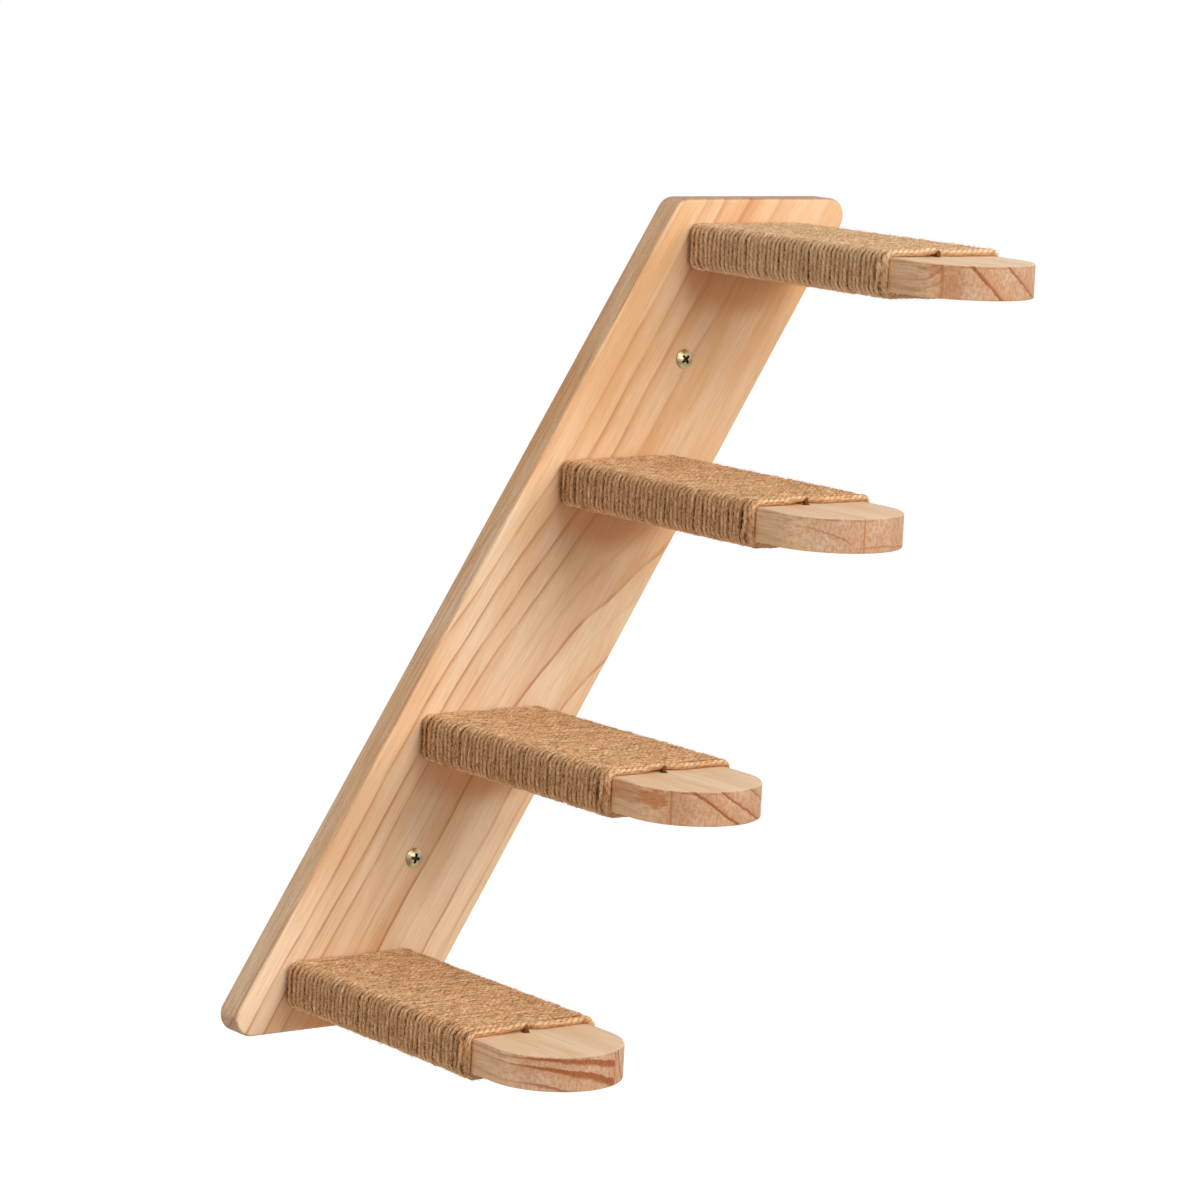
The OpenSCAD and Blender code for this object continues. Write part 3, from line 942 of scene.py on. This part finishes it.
class LADDER_OT_step_planks(bpy.types.Operator):
    """Models the four planks with half-round noses and eased edges, in glued pine strips"""
    bl_idname = "ladder.step_planks"
    bl_label = "Step planks"

    # How each plank's strips were sawn, in millimetres from its middle: arcs, glue lines and stains
    sawn = {
        1: (((58, 66, 98.5, 1.6, 1.0, 9, -90, -80, 60), (58, 66, 83.4, 1.3, 0.8, 8, -90, -80, 60),
             (-60, 20, 32.7, 0.9, 0.8, 4, -90, -80, -31), (-60, 20, 36.0, 1.1, 0.7, 4, -90, -80, -31)),
            (-31,), ((-28, -2, (6, 14), 0.6), (-33, 6, (3.5, 4), 0.6))),
        2: (((-80, -130, 142.8, 1.0, 0.45, 4, -90, -80, -14), (5, -150, 144.8, 1.0, 0.4, 3, -20, 0, 60)),
            (-8,), ()),
        3: (((130, 200, 244.7, 1.5, 1.0, 8, -90, -80, 60), (130, 200, 236.2, 1.3, 0.9, 7, -90, -80, 60),
             (130, 200, 225.7, 1.0, 0.6, 5, -90, -80, 60)),
            (-28.7,), ((-33.5, 3.5, (5, 6), 1.0), (-27, -2, (8, 16), 0.4))),
        4: (((-22, -157, 165.4, 3.2, 1.1, 5, -60, 14, 15), (-34, -132, 136.2, 4.2, 1.1, 6, -55, 14, 15),
             (-36, -76, 71.4, 1.6, 0.7, 3, -44, -20, 15), (60, 15, 43.6, 0.8, 0.8, 2, 10, 16, 60)),
            (15,), ((-30, 0, (5, 9), 0.2),)),
    }

    def execute(self, context):
        ease = context.scene.ladder_pine.ease
        for step, plank in PLANKS.items():
            piece = self.model(f"pine_plank_{step}", plank, ease)
            wood = Pine(f"step_pine_{step}", plank.centre, (1, 0, 0), (0, -1, 0), (0, 0, 1))
            arcs, joints, stains = self.sawn[step]
            wood.ring_arcs(arcs, joints)
            for stain in stains:
                wood.blotch(*stain)
            wood.line_under_edge(plank.half_t / MM, strength=0.5)
            finish_piece(piece, wood.finish(), "step_pine", plank.name)
        return {"FINISHED"}

    def model(self, name, plank, ease):
        deselect()
        nose_y = plank.tip_y + plank.half_w
        nose = (plank.x, nose_y, plank.z)
        bpy.ops.mesh.primitive_cylinder_add(
            vertices=128, radius=plank.half_w, depth=2 * plank.half_t, location=nose)
        piece = name_new(name)
        settle(piece)
        bpy.ops.object.mode_set(mode="EDIT")
        bpy.ops.mesh.select_all(action="SELECT")
        bpy.ops.mesh.bisect(plane_co=nose, plane_no=(0, 1, 0), use_fill=True, clear_outer=True)
        bpy.ops.mesh.extrude_region_move(TRANSFORM_OT_translate={"value": (0, plank.root_y - nose_y, 0)})

        def rim(first, second):
            """Picks the flat faces' edges, but none at the root or where the nose begins."""
            crosswise = any(max(abs(first.y - y), abs(second.y - y)) < NEAR for y in (plank.root_y, nose_y))
            return abs(first.z - second.z) < NEAR and not crosswise

        select_edges(piece, rim)
        bpy.ops.mesh.bevel(offset=ease, segments=4, affect="EDGES")
        bpy.ops.object.mode_set(mode="OBJECT")
        for x, y in zip((0, -TUCK_LEFT), plank.tuck_ys):
            bpy.ops.mesh.primitive_cylinder_add(
                vertices=32, radius=plank.twine_r + TUCK_FIT, depth=2 * TUCK_DEPTH,
                location=(plank.x + x, plank.root_y - y, plank.z + plank.half_t))
            hole = name_new("tuck_hole")
            settle(hole)
            cut(piece, hole)
        shade_smooth(piece)
        return piece


class LADDER_OT_twine(bpy.types.Operator):
    """Winds the jute twine round each step, with its loose fibres"""
    bl_idname = "ladder.twine"
    bl_label = "Twine"

    def execute(self, context):
        look = context.scene.ladder_twine
        for step, plank in PLANKS.items():
            # The top step's twine is paler than the others'
            pale = 0.35 if step == 1 else 0.05
            winding = Winding(plank, look, seed=TWINE_SEED + step)
            wound = jute_wound(look, plank, (look.turns - 1) * winding.round / MM, pale)
            loose = jute_loose(look, plank, pale)
            winding.route(spacing=1.25 * MM)
            rope = tube(f"twine_winding_{step}", winding)
            finish_piece(rope, wound, "jute_twine", f"twine_wrap_{step}")
            fuzz = loose_fibres(f"twine_fibres_{step}", winding)
            finish_piece(fuzz, loose, "jute_twine")
        return {"FINISHED"}


class LADDER_OT_screws(bpy.types.Operator):
    """Models the two wall screws and the eight step screws, with a cross recess, a thread and a point"""
    bl_idname = "ladder.screws"
    bl_label = "Screws"

    # Each screw's recess is turned this much further than the one before it, in radians
    turn_between = 0.65

    def execute(self, context):
        look = context.scene.ladder_steel
        face_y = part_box("backboard")[0].y
        for kind, prefix, ahead, dome_h in (("wall_screw_steel", "wall_screw", 1, look.dome),
                                            ("step_screw_steel", "step_screw", -1, 0)):
            names = sorted(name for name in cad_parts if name.startswith(prefix))
            low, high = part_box(names[0])
            # A domed head stands on the board's face, and its recess takes away the middle of the dome
            top_y, tip_y = (face_y - dome_h, high.y) if dome_h else (high.y, low.y)
            steel = self.plated(kind, look)
            pattern = self.model(kind, (high.x - low.x) / 2, abs(tip_y - top_y), dome_h, look)
            for turn, name in enumerate(names):
                low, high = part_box(name)
                screw = link("plated_" + name, pattern.data.copy())
                place = Matrix.Translation(((low.x + high.x) / 2, top_y, (low.z + high.z) / 2))
                face = Matrix.Rotation(math.radians(-90 * ahead), 4, "X")
                spin = Matrix.Rotation(look.turned + self.turn_between * turn, 4, "Z")
                screw.matrix_world = place @ face @ spin
                settle(screw)
                finish_piece(screw, steel, kind, name)
            bpy.data.objects.remove(pattern)
        return {"FINISHED"}

    def plated(self, name, look):
        """Zinc plating with a warm tint that varies a little, fine marks, and painted shade in the recess."""
        shade = Shader(name)
        place = shade.point_mm()
        cloud = shade.noise(place, detail=3.0, scale=0.45)
        grain = shade.noise(place, scale=6.0)
        colour = shade.mix(cloud.smooth(0.3, 0.7), look.plate, look.tint)
        # The walls and floor of the recess are painted in shade, dark and not metallic
        recess_shade = shade.node("ShaderNodeAttribute", {"attribute_name": "recess"}, out="Fac")
        colour = shade.mix(recess_shade, colour, look.shade)
        shade.set(Base_Color=colour, Metallic=1 - recess_shade, Roughness=grain * 0.2 + (look.roughness - 0.1))
        shade.bump(grain, 0.15, 0.02 * MM)
        return shade.material

    def model(self, name, head_r, length, dome_h, look):
        """A screw along +Z with the top of its head at the origin: domed, or flat and countersunk."""
        thread_r, shank_r = look.thread_d / 2, look.shank_d / 2
        if not dome_h:
            thread_r, shank_r = thread_r * STEP_SCREW_SHARE, shank_r * STEP_SCREW_SHARE
        core_r, rim = thread_r * CORE_SHARE, 0.25 * MM
        thread_z, point_z = length - look.thread_l, length - 3 * thread_r
        if dome_h:
            rim_h = 0.65 * dome_h
            dome_r = (head_r ** 2 + rim_h ** 2) / (2 * rim_h)
            widths = [head_r * share for share in (0, 0.2, 0.4, 0.6, 0.75, 0.88, 0.96, 1.0)]
            head = [(r, dome_r - math.sqrt(dome_r ** 2 - r ** 2)) for r in widths]
            head += [(head_r, dome_h - rim), (head_r - rim, dome_h), (shank_r, dome_h)]
        else:
            head = [(0, 0), (head_r - rim, 0), (head_r, rim * 0.6), (head_r - 0.1 * MM, rim * 1.4),
                    (shank_r, head_r - shank_r)]
        shaft = [(shank_r, thread_z), (core_r, thread_z + 1 * MM), (core_r, point_z),
                 (0.1 * MM, length - 0.3 * MM), (0, length)]
        body = self.turned(name, head + shaft, steps=48)
        self.recess(body, head_r)
        thread = self.thread(core_r, thread_r, thread_z + 1.5 * MM, length - 0.6 * MM, point_z)
        activate(body)
        thread.select_set(True)
        bpy.ops.object.join()
        bpy.ops.object.shade_smooth_by_angle(angle=math.radians(35))
        return body

    def turned(self, name, profile, steps, pitch=0.0, turns=1, closed=False):
        """Turns a profile of radii and heights about the Z axis, rising by the pitch in each turn."""
        mesh = bpy.data.meshes.new(name)
        edges = [(i, i + 1) for i in range(len(profile) - 1)] + [(len(profile) - 1, 0)] * closed
        mesh.from_pydata([(r, 0, z) for r, z in profile], edges, [])
        piece = link(name, mesh)
        screw = piece.modifiers.new("turned", "SCREW")
        screw.steps = screw.render_steps = steps
        screw.angle, screw.screw_offset, screw.iterations = 2 * math.pi, pitch, turns
        screw.use_merge_vertices, screw.merge_threshold = True, NEAR / 10
        apply_modifiers(piece)
        bpy.ops.object.mode_set(mode="EDIT")
        bpy.ops.mesh.select_all(action="SELECT")
        bpy.ops.mesh.remove_doubles(threshold=NEAR / 10)
        bpy.ops.mesh.normals_make_consistent(inside=False)
        bpy.ops.object.mode_set(mode="OBJECT")
        return piece

    def recess(self, body, head_r):
        """Cuts the cross recess, two wings that narrow a little towards the bottom, and marks its faces for
        the painted shade.
        """
        width = depth = head_r * 0.36
        reach = head_r * 0.62
        for turn in (0, 90):
            deselect()
            bpy.ops.mesh.primitive_cube_add(
                size=1, location=(0, 0, 0), scale=(2 * reach, width, 2 * depth))
            wing = name_new("wing")
            settle(wing)
            for point in wing.data.vertices:
                if point.co.z > 0:
                    point.co.x *= 0.75
                    point.co.y *= 0.8
            wing.matrix_world = Matrix.Rotation(math.radians(turn), 4, "Z")
            settle(wing)
            cut(body, wing)
        mark = body.data.attributes.new("recess", "FLOAT", "FACE")
        for face, inside in zip(body.data.polygons, mark.data):
            out = math.hypot(face.center.x, face.center.y)
            dome_z = out ** 2 / head_r * 0.27
            inside.value = float(out < reach and dome_z + 0.1 * MM < face.center.z < depth + 0.1 * MM)

    def thread(self, core_r, thread_r, start, end, point_start):
        """The helical ridge, which shrinks along the point."""
        pitch = thread_r * PITCH_SHARE
        turns = int((end - start) / pitch)
        half, crest = pitch * 0.36, 0.03 * MM
        ridge = [(core_r * 0.9, start - half), (thread_r, start - crest), (thread_r, start + crest),
                 (core_r * 0.9, start + half)]
        thread = self.turned("ridge", ridge, 20, pitch, turns, closed=True)
        for point in thread.data.vertices:
            share = (point.co.z - point_start) / (end - point_start)
            if share > 0:
                point.co.x *= 1 - 0.93 * share
                point.co.y *= 1 - 0.93 * share
        close_ends(thread)
        return thread


class LADDER_PT_panel(bpy.types.Panel):
    """Lists the ladder's operators"""
    bl_label = "Cat Ladder"
    bl_idname = "LADDER_PT_panel"
    bl_space_type = "VIEW_3D"
    bl_region_type = "UI"
    bl_category = "Cat Ladder"

    def draw(self, context):
        for operator in OPERATORS:
            self.layout.operator(operator.bl_idname)
        for group in SETTINGS:
            box = self.layout.box()
            for key in group.__annotations__:
                box.prop(getattr(context.scene, SETTINGS[group]), key)


SETTINGS = {
    LadderPine: "ladder_pine",
    LadderTwine: "ladder_twine",
    LadderSteel: "ladder_steel",
    LadderStage: "ladder_stage",
}
OPERATORS = (LADDER_OT_stage, LADDER_OT_backboard, LADDER_OT_step_planks, LADDER_OT_twine, LADDER_OT_screws)


def register():
    for group, name in SETTINGS.items():
        bpy.utils.register_class(group)
        setattr(bpy.types.Scene, name, PointerProperty(type=group))
    for operator in (*OPERATORS, LADDER_PT_panel):
        bpy.utils.register_class(operator)


def unregister():
    for operator in (LADDER_PT_panel, *reversed(OPERATORS)):
        bpy.utils.unregister_class(operator)
    for group, name in SETTINGS.items():
        delattr(bpy.types.Scene, name)
        bpy.utils.unregister_class(group)


def main():
    register()
    bpy.ops.ladder.stage()
    bpy.ops.ladder.backboard()
    bpy.ops.ladder.step_planks()
    bpy.ops.ladder.twine()
    bpy.ops.ladder.screws()


if __name__ == "__main__":
    main()
